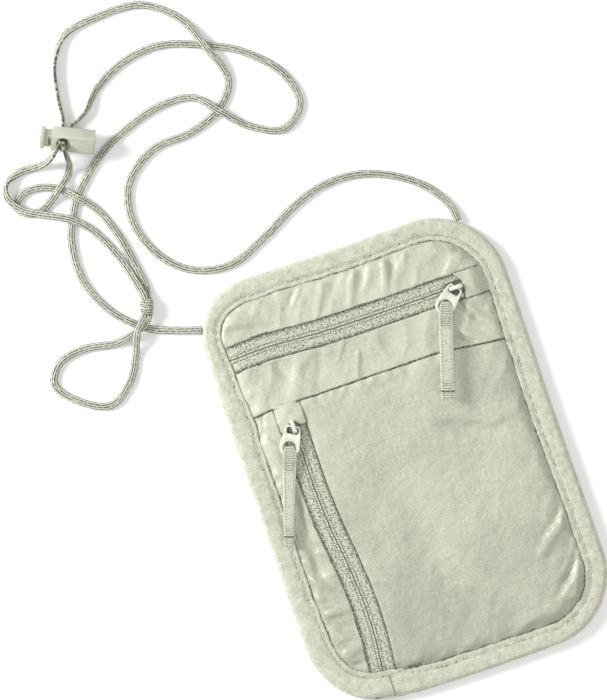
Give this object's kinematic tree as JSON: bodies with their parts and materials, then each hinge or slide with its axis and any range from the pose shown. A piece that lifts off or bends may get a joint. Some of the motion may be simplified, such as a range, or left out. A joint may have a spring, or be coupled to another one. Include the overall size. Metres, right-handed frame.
{
  "type": "neck pouch wallet",
  "caption": "Flat zipped fabric travel pouch with edge binding, a front and a side zip pocket, pull tabs, and a flat neck cord with a spring cord lock.",
  "frame": {"origin": "middle of the pouch's outline, on the surface its back lies on", "axes": "+Y toward the pouch's top edge, +Z out of the zipped front, +X to the right as the front is seen"},
  "size_m": [0.1933, 0.308, 0.0107],
  "materials": {
    "front_fabric": "satin micro ripstop nylon",
    "back_fabric": "brushed knit over thin foam",
    "lining": "thin plain-woven lining",
    "binding": "brushed knit binding tape",
    "thread": "spun polyester thread",
    "zip_tape": "woven polyester zip tape",
    "zip_coil": "nylon coil",
    "slider": "painted die-cast",
    "pull_tab": "painted, satin",
    "webbing": "narrow ribbed webbing",
    "cord_lock": "moulded, satin",
    "spring_steel": "drawn wire",
    "cord": "flat braid"
  },
  "bodies": {
    "root": {"back_panel": "back_fabric", "inner_divider": "lining", "top_panel": "front_fabric", "yoke_panel": "front_fabric", "main_panel": "front_fabric", "side_panel": "front_fabric", "edge_binding": "binding", "binding_thread": "thread", "top_zip_upper_tape": "zip_tape", "top_zip_lower_tape": "zip_tape", "top_zip_upper_coil": "zip_coil", "top_zip_lower_coil": "zip_coil", "top_zip_garage": "front_fabric", "side_zip_left_tape": "zip_tape", "side_zip_right_tape": "zip_tape", "side_zip_left_coil": "zip_coil", "side_zip_right_coil": "zip_coil", "side_zip_garage": "front_fabric", "lock_barrel": "cord_lock", "lock_spring": "spring_steel", "cord_left_strand": "cord", "cord_right_strand": "cord", "cord_end_loop": "cord", "cord_knot": "cord"},
    "top_slider": {"top_slider": "slider"},
    "top_pull_tab": {"top_pull_tab": "pull_tab"},
    "top_pull_webbing": {"top_pull_webbing": "webbing"},
    "side_slider": {"side_slider": "slider"},
    "side_pull_tab": {"side_pull_tab": "pull_tab"},
    "side_pull_webbing": {"side_pull_webbing": "webbing"},
    "lock_plunger": {"lock_plunger": "cord_lock"}
  },
  "joints": [
    {"name": "top_zip_slide", "type": "slide", "parent": "root", "child": "top_slider", "axis": [-0.9998, 0.0175, 0], "range_m": [0, 0.0869], "deforming": ["top_zip_upper_coil", "top_zip_lower_coil"]},
    {"name": "top_tab_flip", "type": "hinge", "parent": "top_slider", "child": "top_pull_tab", "pos_m": [0.0423, 0.0605, 0.00625], "axis": [-0.6561, 0.7547, 0], "range_deg": [0, 110]},
    {"name": "top_webbing_swing", "type": "hinge", "parent": "top_pull_tab", "child": "top_pull_webbing", "pos_m": [0.03589, 0.05492, 0.00625], "axis": [0, 0, 1], "range_deg": [-60, 20]},
    {"name": "side_zip_slide", "type": "slide", "parent": "root", "child": "side_slider", "axis": [0.0227, -0.9997, 0], "range_m": [0, 0.0961], "deforming": ["side_zip_left_coil", "side_zip_right_coil"]},
    {"name": "side_tab_flip", "type": "hinge", "parent": "side_slider", "child": "side_pull_tab", "pos_m": [-0.0394, 0.0281, 0.00625], "axis": [-0.8712, 0.4909, 0], "range_deg": [0, 110]},
    {"name": "side_webbing_swing", "type": "hinge", "parent": "side_pull_tab", "child": "side_pull_webbing", "pos_m": [-0.04357, 0.0207, 0.00625], "axis": [0, 0, 1], "range_deg": [-45, 35]},
    {"name": "lock_plunger_press", "type": "slide", "parent": "root", "child": "lock_plunger", "axis": [0.9085, -0.4179, 0], "range_m": [0, 0.003], "stiffness_N_per_m": 400, "deforming": ["lock_spring"]}
  ]
}
